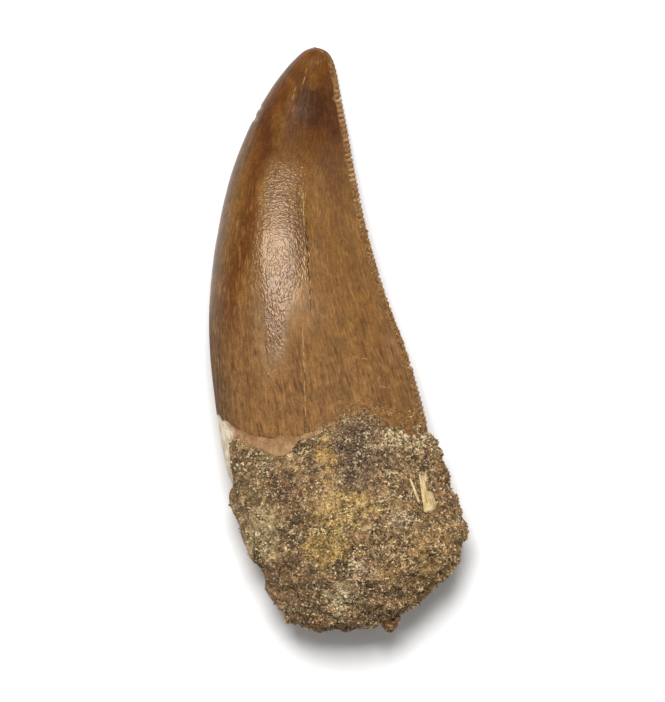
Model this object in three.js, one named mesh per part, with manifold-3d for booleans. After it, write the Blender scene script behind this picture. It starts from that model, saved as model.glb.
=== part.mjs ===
// A fossil tooth of a large carnosaur, lying on its lingual side with the tip towards +Y and the
// serrated rear edge towards +X. Millimetres, +Z up, resting on z = 0, origin under the middle.
//
// tooth   the recurved crown with its serrations, its bare neck and the root stump, grown as one piece
// matrix  the sandstone still cemented round and under the root: a lumpy cup with the stump in its
//         socket, and a window on the upper side where a sliver of the root shows through
import * as THREE from "three";
import Module from "manifold-3d";
import { mergeVertices } from "three/addons/utils/BufferGeometryUtils.js";

// Horizontal sections of the tooth from the broken end of the root to the tip.
// y: place along the tooth. front, rear: x of the convex and of the serrated edge.
// thick: largest thickness. lift: height of the section's lowest point above the table.
// taper: how it thins to the rear, from about 0.5 for the oval root to 0.8 for the crown's blade.
const TOOTH = [
  { y: -30.3, front: -6.1, rear: 9.1, thick: 9.0, lift: 3.2, taper: 0.5 },
  { y: -26.8, front: -10.3, rear: 12.3, thick: 11.4, lift: 2.2, taper: 0.52 },
  { y: -21.8, front: -12.1, rear: 13.1, thick: 12.4, lift: 1.7, taper: 0.56 },
  { y: -18.4, front: -13.9, rear: 12.7, thick: 12.7, lift: 1.5, taper: 0.6 },
  { y: -14.6, front: -14.85, rear: 11.9, thick: 12.8, lift: 1.4, taper: 0.63 },
  { y: -10.2, front: -15.45, rear: 11.3, thick: 12.6, lift: 1.3, taper: 0.68 },
  { y: -2.4, front: -16.3, rear: 9.05, thick: 11.8, lift: 1.5, taper: 0.73 },
  { y: 5.3, front: -16.4, rear: 6.25, thick: 10.7, lift: 1.7, taper: 0.76 },
  { y: 13.0, front: -15.5, rear: 3.95, thick: 9.3, lift: 1.6, taper: 0.78 },
  { y: 20.8, front: -13.7, rear: 2.35, thick: 7.4, lift: 1.1, taper: 0.78 },
  { y: 26.9, front: -11.4, rear: 1.25, thick: 5.6, lift: 0.5, taper: 0.76 },
  { y: 31.6, front: -8.85, rear: 0.35, thick: 4.3, lift: 0.12, taper: 0.72 },
  { y: 34.7, front: -6.6, rear: -0.25, thick: 3.2, lift: 0.0, taper: 0.66 },
  { y: 36.5, front: -4.85, rear: -0.95, thick: 2.3, lift: 0.25, taper: 0.6 },
  { y: 37.2, front: -3.85, rear: -1.85, thick: 1.5, lift: 0.6, taper: 0.52 },
  { y: 37.5, front: -2.9, rear: -2.9, thick: 0, lift: 1.3, taper: 0.5 },
];

// The same for the outside of the matrix, from its upper edge to its broken lower end.
const MATRIX = [
  { y: -37.7, front: 0.8, rear: 0.8, thick: 0, lift: 6.6, taper: 0.56 },
  { y: -37.25, front: -3.75, rear: 3.75, thick: 4.0, lift: 4.8, taper: 0.56 },
  { y: -36.6, front: -5.9, rear: 5.9, thick: 6.8, lift: 3.4, taper: 0.56 },
  { y: -35.7, front: -7.2, rear: 8.2, thick: 9.4, lift: 2.2, taper: 0.56 },
  { y: -34.15, front: -8.0, rear: 10.2, thick: 11.6, lift: 1.2, taper: 0.56 },
  { y: -31.8, front: -9.3, rear: 12.6, thick: 13.4, lift: 0.4, taper: 0.56 },
  { y: -29.5, front: -10.15, rear: 15.0, thick: 14.6, lift: -0.1, taper: 0.56 },
  { y: -27.2, front: -11.5, rear: 15.85, thick: 15.4, lift: -0.4, taper: 0.56 },
  { y: -25.6, front: -12.2, rear: 16.25, thick: 15.6, lift: -0.5, taper: 0.56 },
  { y: -22.5, front: -13.3, rear: 15.8, thick: 15.6, lift: -0.5, taper: 0.56 },
  { y: -19.5, front: -14.2, rear: 14.6, thick: 15.3, lift: -0.3, taper: 0.56 },
  { y: -16.4, front: -14.75, rear: 13.5, thick: 14.8, lift: 0.0, taper: 0.56 },
  { y: -13.3, front: -15.4, rear: 12.75, thick: 14.3, lift: 0.3, taper: 0.56 },
  { y: -9.4, front: -16.2, rear: 11.9, thick: 13.8, lift: 0.5, taper: 0.56 },
];

// Upper edge of the matrix as [turn, y]. A turn of 0 is the front edge; it runs over the upper
// (labial) side to the serrated edge at 0.5 and back underneath.
const MATRIX_EDGE = [
  [0, -19.9],
  [0.055, -18.9],
  [0.072, -14.0],
  [0.09, -13.2],
  [0.115, -13.9],
  [0.14, -14.2],
  [0.17, -15.4],
  [0.19, -15.1],
  [0.21, -13.6],
  [0.24, -12.8],
  [0.265, -11.3],
  [0.29, -10.6],
  [0.33, -11.0],
  [0.37, -11.8],
  [0.41, -12.8],
  [0.5, -12.1],
  [0.58, -13.2],
  [0.66, -12.2],
  [0.75, -13.2],
  [0.84, -14.4],
  [0.9, -16.4],
  [0.95, -18.6],
  [1, -19.9],
];

const BLUNTNESS = 0.57; // how a section swells from its front edge: 0.5 is as round as an ellipse
const UPPER_SHARE = 0.53; // share of a section's thickness that is above its edges

const TOOTH_COLUMNS = 32;
const TOOTH_ROWS = 28;
const TIP_CROWDING = 1.6; // above 1, rows stand closer together towards the tip

// Serrations: wedges across the rear edge, as thick as the blade at their inner end. As the blade is
// hollow there, they stand a little out of both its faces and out of its edge.
const DENTICLE = { pitch: 0.67, first: 35.6, last: -10.8, width: 0.46, reach: 0.22, inward: 0.74, end: 0.5 };

const MATRIX_COLUMNS = 52;
const MATRIX_ROWS = 25;
const END_CROWDING = 1.8; // above 1, rows stand closer together towards the lower end
const SOCKET_ROWS = 11; // rows of the socket's wall; the window's are level with the outer ones
const GAP = 0.3; // free space between the root stump and its socket
const WALL = 0.35; // thinnest matrix over the root
const EDGE_BEVEL = 1.6; // length over which the matrix thickens from its upper edge
const BLEND = 0.5; // how softly the thinnest wall passes into the free outer form
const ROUGHNESS = [
  { wavelength: 4.6, height: 0.3 },
  { wavelength: 2.1, height: 0.17 },
];
const WAVES = 14;
const GOLDEN_ANGLE = Math.PI * (3 - Math.sqrt(5));

// The window over the root, in cells of the matrix's grid
const WINDOW = { firstColumn: 18, lastColumn: 20, firstRow: 4, lastRow: 6 };

// Nodules that stick out of the lower broken end: centre and radii
const NODULES = [
  { at: [6.5, -36.2, 6.6], radii: [1.25, 1.75, 1.7], lean: 0.12 },
  { at: [-3.1, -36.75, 5.6], radii: [1.35, 0.85, 1.3], lean: -0.2 },
];

const toothMaterial = new THREE.MeshStandardMaterial({ color: 0x8b6236, roughness: 0.38, metalness: 0 });
const matrixMaterial = new THREE.MeshStandardMaterial({ color: 0x8a6e4b, roughness: 0.95, metalness: 0 });

const wasm = await Module();
wasm.setup();

// Smooth interpolation in a list of rows sorted by their first value: Catmull-Rom with uneven steps.
function smooth(knots, values, at) {
  const last = knots.length - 1;
  const x = THREE.MathUtils.clamp(at, knots[0], knots[last]);
  let i = 0;
  while (i < last - 1 && x > knots[i + 1]) i++;
  const slope = (k) => {
    const a = Math.max(k - 1, 0);
    const b = Math.min(k + 1, last);
    return (values[b] - values[a]) / (knots[b] - knots[a]);
  };
  const step = knots[i + 1] - knots[i];
  const t = (x - knots[i]) / step;
  const ease = t * t * (3 - 2 * t);
  const bend = step * (t * (1 - t) ** 2 * slope(i) - t * t * (1 - t) * slope(i + 1));
  return values[i] + (values[i + 1] - values[i]) * ease + bend;
}

// The section at a height y of a list such as TOOTH.
function sectionAt(stations, y) {
  const knots = stations.map((s) => s.y);
  const at = (key) => smooth(knots, stations.map((s) => s[key]), y);
  return { front: at("front"), rear: at("rear"), thick: at("thick"), lift: at("lift"), taper: at("taper") };
}

// Point of a section at an angle: 0 is the front edge, pi the rear one, and between them the upper side.
// grow moves the outline outwards.
function sectionPoint(stations, y, angle, grow = 0) {
  const s = sectionAt(stations, y);
  const share = (1 - Math.cos(angle)) / 2;
  const peak = BLUNTNESS / (BLUNTNESS + s.taper);
  const shape = (share / peak) ** BLUNTNESS * ((1 - share) / (1 - peak)) ** s.taper;
  const upper = Math.sin(angle) >= 0;
  const side = upper ? UPPER_SHARE : 1 - UPPER_SHARE;
  const height = s.thick * side * shape + grow * Math.sqrt(Math.abs(Math.sin(angle)));
  const middle = s.lift + s.thick * (1 - UPPER_SHARE);
  return new THREE.Vector3(
    THREE.MathUtils.lerp(s.front - grow, s.rear + grow, share),
    y,
    middle + (upper ? height : -height),
  );
}

// Uneven field of about -1 to 1, from plane waves in directions spread over a sphere.
function lumps(p, wavelength) {
  let sum = 0;
  for (let i = 0; i < WAVES; i++) {
    const up = 1 - (2 * i + 1) / WAVES;
    const flat = Math.sqrt(1 - up * up);
    const turn = i * GOLDEN_ANGLE;
    const number = (2 * Math.PI) / (wavelength * (1 + 0.35 * Math.sin(i * 5.1)));
    const along = p.x * flat * Math.cos(turn) + p.y * flat * Math.sin(turn) + p.z * up;
    sum += Math.sin(number * along + i * 2.4);
  }
  return sum / Math.sqrt(WAVES);
}

// A closed geometry from a list of points and of triangles that index them.
function geometryOf(points, triangles) {
  const geometry = new THREE.BufferGeometry();
  geometry.setAttribute("position", new THREE.Float32BufferAttribute(points.flatMap((p) => p.toArray()), 3));
  geometry.setIndex(triangles.flat());
  return geometry;
}

function solidOf(geometry) {
  const bare = geometry.clone();
  bare.deleteAttribute("normal");
  bare.deleteAttribute("uv");
  const merged = mergeVertices(bare, 1e-4);
  return new wasm.Manifold(
    new wasm.Mesh({
      numProp: 3,
      vertProperties: new Float32Array(merged.attributes.position.array),
      triVerts: new Uint32Array(merged.index.array),
    }),
  );
}

function meshOf(solid, material, name) {
  const made = solid.getMesh();
  const geometry = new THREE.BufferGeometry();
  geometry.setAttribute("position", new THREE.BufferAttribute(new Float32Array(made.vertProperties), 3));
  geometry.setIndex(new THREE.BufferAttribute(new Uint32Array(made.triVerts), 1));
  geometry.computeVertexNormals();
  const mesh = new THREE.Mesh(geometry, material);
  mesh.name = name;
  return mesh;
}

// Crown, neck and root stump as one loft: a flat broken end, rings, and a pole at the tip.
function crownGeometry() {
  const points = [];
  const triangles = [];
  const low = TOOTH[0].y;
  const high = TOOTH[TOOTH.length - 1].y;
  for (let row = 0; row < TOOTH_ROWS; row++) {
    const y = low + (high - low) * (1 - (1 - row / TOOTH_ROWS) ** TIP_CROWDING);
    for (let column = 0; column < TOOTH_COLUMNS; column++)
      points.push(sectionPoint(TOOTH, y, (2 * Math.PI * column) / TOOTH_COLUMNS));
  }
  const tip = points.push(sectionPoint(TOOTH, high, 0)) - 1;
  const end = points.push(new THREE.Vector3((TOOTH[0].front + TOOTH[0].rear) / 2, low, TOOTH[0].lift + TOOTH[0].thick / 2)) - 1;
  for (let column = 0; column < TOOTH_COLUMNS; column++) {
    const next = (column + 1) % TOOTH_COLUMNS;
    for (let row = 0; row < TOOTH_ROWS - 1; row++) {
      const here = row * TOOTH_COLUMNS;
      const above = here + TOOTH_COLUMNS;
      triangles.push([here + column, here + next, above + next], [here + column, above + next, above + column]);
    }
    const last = (TOOTH_ROWS - 1) * TOOTH_COLUMNS;
    triangles.push([last + column, last + next, tip]);
    triangles.push([end, next, column]);
  }
  return geometryOf(points, triangles);
}

// One serration: a wedge that points to +X and thins outwards, centred on its width and thickness.
function denticleGeometry(thick) {
  const { inward, reach, width, end } = DENTICLE;
  const side = new THREE.Shape();
  side.moveTo(-inward, -thick / 2);
  side.lineTo(reach, -end / 2);
  side.lineTo(reach, end / 2);
  side.lineTo(-inward, thick / 2);
  side.closePath();
  const wedge = new THREE.ExtrudeGeometry(side, { depth: width, bevelEnabled: false });
  return wedge.translate(0, 0, -width / 2).rotateX(Math.PI / 2);
}

// Places along the rear edge, a pitch apart: each with the direction that the edge faces and the
// thickness of the blade where the serration ends inside.
function denticlePlaces() {
  const places = [];
  let y = DENTICLE.first;
  while (y > DENTICLE.last) {
    const here = sectionPoint(TOOTH, y, Math.PI);
    const below = sectionPoint(TOOTH, y - 0.1, Math.PI);
    const run = below.clone().sub(here);
    const { front, rear } = sectionAt(TOOTH, y);
    const inside = Math.acos((2 * DENTICLE.inward) / (rear - front) - 1);
    const thick = sectionPoint(TOOTH, y, inside).z - sectionPoint(TOOTH, y, -inside).z;
    places.push({ at: here, facing: Math.atan2(run.x, -run.y), thick });
    y -= (DENTICLE.pitch * 0.1) / run.length();
  }
  return places;
}

function toothMesh() {
  const wedges = denticlePlaces().map(({ at, facing, thick }) =>
    solidOf(denticleGeometry(thick).rotateZ(facing).translate(...at.toArray())),
  );
  const crown = solidOf(crownGeometry());
  return meshOf(wasm.Manifold.union([crown, ...wedges]), toothMaterial, "tooth");
}

const turnOf = (column) => column / MATRIX_COLUMNS;

const edgeHeight = (column) =>
  smooth(MATRIX_EDGE.map((e) => e[0]), MATRIX_EDGE.map((e) => e[1]), turnOf(column));

// Height of a row of the outer grid: row 0 is the uneven upper edge, and the last is the lower end.
function matrixHeight(row, column) {
  const fall = 1 - (1 - row / MATRIX_ROWS) ** END_CROWDING;
  return THREE.MathUtils.lerp(edgeHeight(column), MATRIX[0].y, fall);
}

function socketPoint(row, column) {
  const y = THREE.MathUtils.lerp(edgeHeight(column), TOOTH[0].y, row / SOCKET_ROWS);
  return sectionPoint(TOOTH, y, 2 * Math.PI * turnOf(column), GAP);
}

// Outside of the matrix: its smooth form roughened with lumps, never nearer to the socket than WALL.
function matrixPoint(row, column) {
  const angle = 2 * Math.PI * turnOf(column);
  const y = matrixHeight(row, column);
  const form = (height, turn) => sectionPoint(MATRIX, height, turn);
  const p = form(y, angle);
  const along = form(y + 0.05, angle).sub(form(y - 0.05, angle));
  const around = form(y, angle + 0.01).sub(form(y, angle - 0.01));
  const out = around.cross(along).normalize();
  const fromEdge = matrixHeight(0, column) - y;
  const calm = THREE.MathUtils.smoothstep(fromEdge, -0.4, 4);
  const rough = ROUGHNESS.reduce((sum, r) => sum + r.height * lumps(p, r.wavelength), 0) * (0.3 + 0.7 * calm);
  p.addScaledVector(out, rough);
  if (y < TOOTH[0].y) return p;
  const core = sectionPoint(TOOTH, y, angle, GAP + WALL + Math.max(rough, 0));
  const section = sectionAt(TOOTH, y);
  const middle = new THREE.Vector3((section.front + section.rear) / 2, y, section.lift + section.thick / 2);
  const clear = p.distanceTo(middle) - core.distanceTo(middle);
  const free = THREE.MathUtils.smoothstep(clear, -BLEND, BLEND);
  return core.lerp(p, free * THREE.MathUtils.smoothstep(fromEdge, -0.3, EDGE_BEVEL));
}

function inWindow(row, column) {
  return (
    row >= WINDOW.firstRow && row <= WINDOW.lastRow && column >= WINDOW.firstColumn && column <= WINDOW.lastColumn
  );
}

// The cup: outer wall down to a pole at the lower end, socket wall and floor, the upper edge, the window.
function matrixGeometry() {
  const points = [];
  const triangles = [];
  const quad = (a, b, c, d) => triangles.push([a, b, c], [a, c, d]);
  const add = (p) => points.push(p.setZ(Math.max(p.z, 0))) - 1;
  const columns = Array.from({ length: MATRIX_COLUMNS }, (_, column) => column);
  const outer = Array.from({ length: MATRIX_ROWS }, (_, row) => columns.map((c) => add(matrixPoint(row, c))));
  const socket = Array.from({ length: SOCKET_ROWS + 1 }, (_, row) =>
    columns.map((c) => add(socketPoint(row, c))),
  );
  const floor = TOOTH[0].y - GAP;
  socket.push(columns.map((c) => add(socketPoint(SOCKET_ROWS, c).setY(floor))));
  const lowerPole = add(sectionPoint(MATRIX, MATRIX[0].y, 0));
  const floorPole = add(new THREE.Vector3((TOOTH[0].front + TOOTH[0].rear) / 2, floor, TOOTH[0].lift + TOOTH[0].thick / 2));
  for (const column of columns) {
    const next = (column + 1) % MATRIX_COLUMNS;
    for (let row = 0; row < outer.length - 1; row++)
      if (!inWindow(row, column))
        quad(outer[row][column], outer[row + 1][column], outer[row + 1][next], outer[row][next]);
    for (let row = 0; row < socket.length - 1; row++)
      if (!inWindow(row, column))
        quad(socket[row][column], socket[row][next], socket[row + 1][next], socket[row + 1][column]);
    triangles.push([outer.at(-1)[column], lowerPole, outer.at(-1)[next]]);
    triangles.push([socket.at(-1)[column], socket.at(-1)[next], floorPole]);
    quad(outer[0][column], outer[0][next], socket[0][next], socket[0][column]);
  }
  const { firstColumn, lastColumn, firstRow, lastRow } = WINDOW;
  for (let column = firstColumn; column <= lastColumn; column++) {
    const next = column + 1;
    const below = lastRow + 1;
    quad(outer[firstRow][column], socket[firstRow][column], socket[firstRow][next], outer[firstRow][next]);
    quad(outer[below][column], outer[below][next], socket[below][next], socket[below][column]);
  }
  for (let row = firstRow; row <= lastRow; row++) {
    const left = firstColumn;
    const right = lastColumn + 1;
    quad(outer[row][left], outer[row + 1][left], socket[row + 1][left], socket[row][left]);
    quad(outer[row][right], socket[row][right], socket[row + 1][right], outer[row + 1][right]);
  }
  return geometryOf(points, triangles);
}

function noduleSolid(nodule) {
  const ball = new THREE.IcosahedronGeometry(1, 2);
  const rough = ball.attributes.position;
  const p = new THREE.Vector3();
  for (let i = 0; i < rough.count; i++) {
    p.fromBufferAttribute(rough, i);
    p.multiplyScalar(1 + 0.12 * lumps(p, 1.7));
    rough.setXYZ(i, ...p.toArray());
  }
  return solidOf(ball.scale(...nodule.radii).rotateZ(nodule.lean).translate(...nodule.at));
}

function matrixMesh() {
  const solid = wasm.Manifold.union([solidOf(matrixGeometry()), ...NODULES.map(noduleSolid)]);
  return meshOf(solid, matrixMaterial, "matrix");
}

// Stand the specimen with its lowest points on z = 0 and the middle of its outline at x = y = 0.
function specimen() {
  const pieces = new THREE.Group();
  pieces.add(toothMesh(), matrixMesh());
  const box = new THREE.Box3().setFromObject(pieces, true);
  const centre = box.getCenter(new THREE.Vector3());
  pieces.position.set(-centre.x, -centre.y, -box.min.z);
  const root = new THREE.Group();
  root.name = "carnosaur_tooth";
  root.add(pieces);
  return root;
}

export default specimen();
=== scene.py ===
# Looks of a fossil carnosaur tooth: the crown with its serrated edge, the sandstone crust round its
# root, the sand grains on the crust, and the slivers of root that show in it.
# Shapes are worked out in millimetres in the tooth's own frame: its long axis is Y with the tip up, the
# serrated edge faces +X, and the table is z = 0. They are then placed in metres in the solids' frame.
import math

import bpy
import numpy as np
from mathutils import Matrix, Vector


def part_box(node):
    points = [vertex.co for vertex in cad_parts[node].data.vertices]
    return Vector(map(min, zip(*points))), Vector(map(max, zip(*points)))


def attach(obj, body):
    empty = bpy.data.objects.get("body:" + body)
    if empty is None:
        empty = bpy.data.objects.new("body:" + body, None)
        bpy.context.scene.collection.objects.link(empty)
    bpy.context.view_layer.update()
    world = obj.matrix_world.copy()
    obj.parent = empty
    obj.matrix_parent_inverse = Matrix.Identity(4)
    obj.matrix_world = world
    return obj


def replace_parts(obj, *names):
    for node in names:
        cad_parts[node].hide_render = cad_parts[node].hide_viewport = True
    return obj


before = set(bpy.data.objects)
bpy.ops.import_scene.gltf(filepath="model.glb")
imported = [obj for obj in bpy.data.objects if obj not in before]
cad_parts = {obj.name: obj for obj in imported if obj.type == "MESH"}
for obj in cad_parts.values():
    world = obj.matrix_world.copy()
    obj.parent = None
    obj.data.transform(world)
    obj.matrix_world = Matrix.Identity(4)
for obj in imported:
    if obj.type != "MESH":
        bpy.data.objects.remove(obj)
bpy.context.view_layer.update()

MM = 0.001

# Sections of the tooth from its root to its tip: place along it, x of the blunt front edge and of the
# serrated rear edge, largest thickness, height above the table, and taper towards the rear.
TOOTH = (
    (-30.3, -6.1, 9.1, 9.0, 3.2, 0.5),
    (-26.8, -10.3, 12.3, 11.4, 2.2, 0.52),
    (-21.8, -12.1, 13.1, 12.4, 1.7, 0.56),
    (-18.4, -13.9, 12.7, 12.7, 1.5, 0.6),
    (-14.6, -14.85, 11.9, 12.8, 1.4, 0.63),
    (-10.2, -15.45, 11.3, 12.6, 1.3, 0.68),
    (-2.4, -16.3, 9.05, 11.8, 1.5, 0.73),
    (5.3, -16.4, 6.25, 10.7, 1.7, 0.76),
    (13.0, -15.5, 3.95, 9.3, 1.6, 0.78),
    (20.8, -13.7, 2.35, 7.4, 1.1, 0.78),
    (26.9, -11.4, 1.25, 5.6, 0.5, 0.76),
    (31.6, -8.85, 0.35, 4.3, 0.12, 0.72),
    (34.7, -6.6, -0.25, 3.2, 0.0, 0.66),
    (36.5, -4.85, -0.95, 2.3, 0.25, 0.6),
    (37.2, -3.85, -1.85, 1.5, 0.6, 0.52),
    (37.5, -2.9, -2.9, 0.0, 1.3, 0.5),
)

# The same for the outside of the crust, from its broken lower end to its upper edge.
CRUST = (
    (-37.7, 0.8, 0.8, 0.0, 6.6, 0.56),
    (-37.25, -3.75, 3.75, 4.0, 4.8, 0.56),
    (-36.6, -5.9, 5.9, 6.8, 3.4, 0.56),
    (-35.7, -7.2, 8.2, 9.4, 2.2, 0.56),
    (-34.15, -8.0, 10.2, 11.6, 1.2, 0.56),
    (-31.8, -9.3, 12.6, 13.4, 0.4, 0.56),
    (-29.5, -10.15, 15.0, 14.6, -0.1, 0.56),
    (-27.2, -11.5, 15.85, 15.4, -0.4, 0.56),
    (-25.6, -12.2, 16.25, 15.6, -0.5, 0.56),
    (-22.5, -13.3, 15.8, 15.6, -0.5, 0.56),
    (-19.5, -14.2, 14.6, 15.3, -0.3, 0.56),
    (-16.4, -14.75, 13.5, 14.8, 0.0, 0.56),
    (-13.3, -15.4, 12.75, 14.3, 0.3, 0.56),
    (-9.4, -16.2, 11.9, 13.8, 0.5, 0.56),
)

# Upper edge of the crust: turn and place along the tooth. A turn of 0 is the front edge; it runs over
# the upper side to the serrated edge at 0.5 and back underneath.
CRUST_EDGE = (
    (0, -19.9),
    (0.055, -18.9),
    (0.072, -14.0),
    (0.09, -13.2),
    (0.115, -13.9),
    (0.14, -14.2),
    (0.17, -15.4),
    (0.19, -15.1),
    (0.21, -13.6),
    (0.24, -12.8),
    (0.265, -11.3),
    (0.29, -10.6),
    (0.33, -11.0),
    (0.37, -11.8),
    (0.41, -12.8),
    (0.5, -12.1),
    (0.58, -13.2),
    (0.66, -12.2),
    (0.75, -13.2),
    (0.84, -14.4),
    (0.9, -16.4),
    (0.95, -18.6),
    (1, -19.9),
)

# Lower edge of the enamel: share of the width from the front edge, and place along the tooth.
ENAMEL_EDGE = (
    (0.0, -10.0),
    (0.05, -11.2),
    (0.11, -12.0),
    (0.18, -12.7),
    (0.25, -13.0),
    (0.32, -12.8),
    (0.42, -12.5),
    (0.5, -11.4),
    (0.57, -10.7),
    (1.0, -12.5),
)

BLUNTNESS = 0.57  # how a section swells from its front edge: 0.5 is as round as an ellipse
UPPER_SHARE = 0.53  # share of a section's thickness that is above its edges

# Crown. Values such as WAVINESS, here and below, are wavelengths of unevenness and their heights.
CROWN_COLUMNS, CROWN_ROWS = 224, 424
TIP_CROWDING = 1.25  # above 1, rows stand closer together towards the tip
ENAMEL_STEP = 0.13  # how far the bare neck lies under the enamel
STEP_BEVEL = (-0.1, 0.2)  # where that step begins and ends
ENAMEL_RAGGED = ((1.1, 0.35), (0.4, 0.12))  # unevenness of the line of the step
WAVINESS = ((7.0, 0.05), (2.6, 0.025))
FLUTING, FLUTE_WIDTH = 0.018, 0.55  # fine ridges along the crown
FLUTE_STRETCH = (1, 0.05, 0.3)
FLOW_WIDTH = 24.0  # width that the blade's flow is measured on, at any height
TIP_FADE = 0.6  # length over which all unevenness fades out towards the tip

# Chips out of the crown: place along it, edge that it is on, radius and depth
CHIPS = (
    (30.8, "rear", 0.55, 0.3),
    (23.1, "rear", 0.6, 0.28),
    (17.2, "rear", 0.4, 0.18),
    (7.9, "rear", 0.5, 0.2),
    (-3.6, "rear", 0.6, 0.22),
    (28.3, "front", 0.7, 0.14),
    (29.6, "front", 0.5, 0.1),
)

# Serrations of the rear edge. A spread is the range of a random factor.
PITCH = 0.67
DENTICLE_TOP, DENTICLE_BOTTOM = 35.7, -11.6  # first and last place along the tooth
DENTICLE_INWARD, DENTICLE_OUTWARD = 0.85, 0.1  # how far each reaches in from the edge and out of it
REACH_SPREAD = (0.85, 1.1)
DENTICLE_WIDTH, WIDTH_SPREAD = 0.63, (0.93, 1.05)
DENTICLE_PROUD, PROUD_SPREAD = 0.07, (0.8, 1.15)  # how far it stands out of the blade's faces
WORN_TOP, WORN_BOTTOM = (15.0, 21.0), (-10.0, -5.0)  # it is worn down between these, and fades in them
WEAR, WEAR_SPREAD = 0.6, (0.6, 1.2)  # share of its height that a worn one has lost
DENTICLE_SQUARE = 0.7  # below 1, its cross-section is squarer than an ellipse
DENTICLE_BLUNT, DENTICLE_END = 6, 0.55  # power of its outer end's curve, and its width there as a share
RING, STATIONS = 10, 9  # points round a denticle, and rings along it

# Crust
CRUST_COLUMNS, CRUST_ROWS = 424, 186
CRUST_CROWDING = 1.5  # above 1, rows stand closer together towards the lower end
SOCKET_ROWS = 6
SOCKET_DEPTH = 6.0  # how far the crust's inner wall is followed down from its upper edge
SOCKET_GAP, SOCKET_SLACK = 0.02, 0.25  # how far that wall starts outside the root, and leans inwards
WALL, EDGE_WALL = 0.35, 0.04  # thinnest crust over the root, and at its upper edge
EDGE_BEVEL = 1.0  # length over which the crust thickens from its upper edge
BLEND = 0.5  # how softly the thinnest wall passes into the free outer form
LUMPS, EDGE_LUMPS = ((4.6, 0.3), (2.1, 0.17)), 0.3  # and the share of them left at its upper edge
WAVES, WAVE_SPREAD = 14, 0.35  # plane waves that make the lumps, and how much their lengths differ
SPREAD_STEP, PHASE_STEP = 5.1, 2.4  # steps of angle that vary their lengths and phases
GOLDEN_ANGLE = math.pi * (3 - math.sqrt(5))
RELIEF = ((1.3, 0.09), (0.62, 0.1), (0.36, 0.09))
RAGGED = ((2.2, 0.3), (0.8, 0.22), (0.4, 0.12))  # unevenness of the line of its upper edge
FRONT_CALM = 0.85  # how much smoother the crust is along its front edge
PIT_SHAPE = ((1.1, 1.0), (0.5, 0.4))
PIT_SHARE, PIT_DEPTH = 0.32, 0.14  # share of the surface that has pits, and their depth

# Nodules that stick out of the lower broken end: centre, radii and lean
NODULES = (
    ((6.85, -36.1, 6.6), (1.2, 1.85, 1.6), 0.12),
    ((-3.1, -36.5, 5.6), (1.4, 1.0, 1.3), -0.2),
    ((-5.6, -35.9, 6.4), (1.2, 1.0, 1.2), 0.3),
    ((3.4, -36.3, 6.2), (1.3, 1.0, 1.2), 0.0),
    ((11.8, -31.9, 7.4), (1.0, 1.2, 1.1), 0.4),
    ((15.0, -24.6, 7.6), (0.8, 1.3, 1.1), 0.1),
)
NODULE_RINGS, NODULE_POINTS = 28, 44
NODULE_LUMPS = ((1.1, 0.16), (0.45, 0.09))

# Slivers of bare root in the window: lower and upper end, half width at each, and how deep they lie
# under the crust's surface there
SPLINTERS = (
    ((12.1, -22.6), (10.9, -17.3), 0.98, 0.5, 0.05),
    ((10.55, -21.4), (9.3, -18.1), 0.2, 0.16, 0.1),
)
SPLINTER_THICK = 0.9
SPLINTER_END = 0.35  # how wide its broken ends are, as a share of its width there
SPLINTER_SQUARE = 0.6  # below 1, its cross-section is squarer than an ellipse
SPLINTER_GROOVES = ((0.2, 0.09), (0.5, 0.14))
SPLINTER_BREAK = ((0.35, 0.25),)
SPLINTER_RINGS, SPLINTER_POINTS = 60, 56

# The window over the root: middle, half width, half length and lean of its long axis, and depth
WINDOW_AT = (11.0, -20.4)
WINDOW_HALF = (1.25, 2.75)
WINDOW_LEAN = math.radians(14)
WINDOW_DEPTH = 0.75
WINDOW_RAGGED = ((0.9, 0.22), (0.4, 0.1))
WINDOW_LOWEST = 6  # it is only in the upper side, above this height

# Sand grains: how many there are, and the middle radius
FINE_GRAINS, FINE_SIZE = 24000, 0.08
COARSE_GRAINS, COARSE_SIZE = 8000, 0.155
SCATTERED_GRAINS, SCATTERED_SIZE = 1500, 0.062
EDGE_GRAINS, EDGE_SIZE = 1600, 0.075
GRAIN_SPREAD = 0.36  # spread of the logarithm of the radius
LARGEST_GRAIN = 0.24
GRAIN_FORM = (1.5, 0.9, 0.8)  # how long a grain is, against its radius, along its three axes
GRAIN_UNEVEN = (0.65, 1.25)  # how far its corners stand out of that form
GRAIN_PROUD = 0.4  # height of a grain's middle over the surface, as a share of its radius
OCTAHEDRON = ((0, 1, 2), (1, 3, 2), (3, 4, 2), (4, 0, 2), (1, 0, 5), (3, 1, 5), (4, 3, 5), (0, 4, 5))
SEEN_HEIGHT, HIDDEN_SHARE = 4, 0.35  # under this height the crust has this share of the grains
FRONT_BARE = 0.95  # share of the grains that the front edge lacks
SCATTER_REACH, SCATTER_END = 0.9, 4  # how fast grains thin out beyond the crust, and where they end
SANDY_TOP, SANDY_BOTTOM = (16, 21), (-9, -4)  # sand fills the serrations between these

# Random values for noise, and factors that pick one of them for each corner of a lattice
RANDOM = np.random.default_rng(11).uniform(-1, 1, 1 << 16)
PRIMES = np.array((73856093, 19349663, 83492791))

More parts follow.
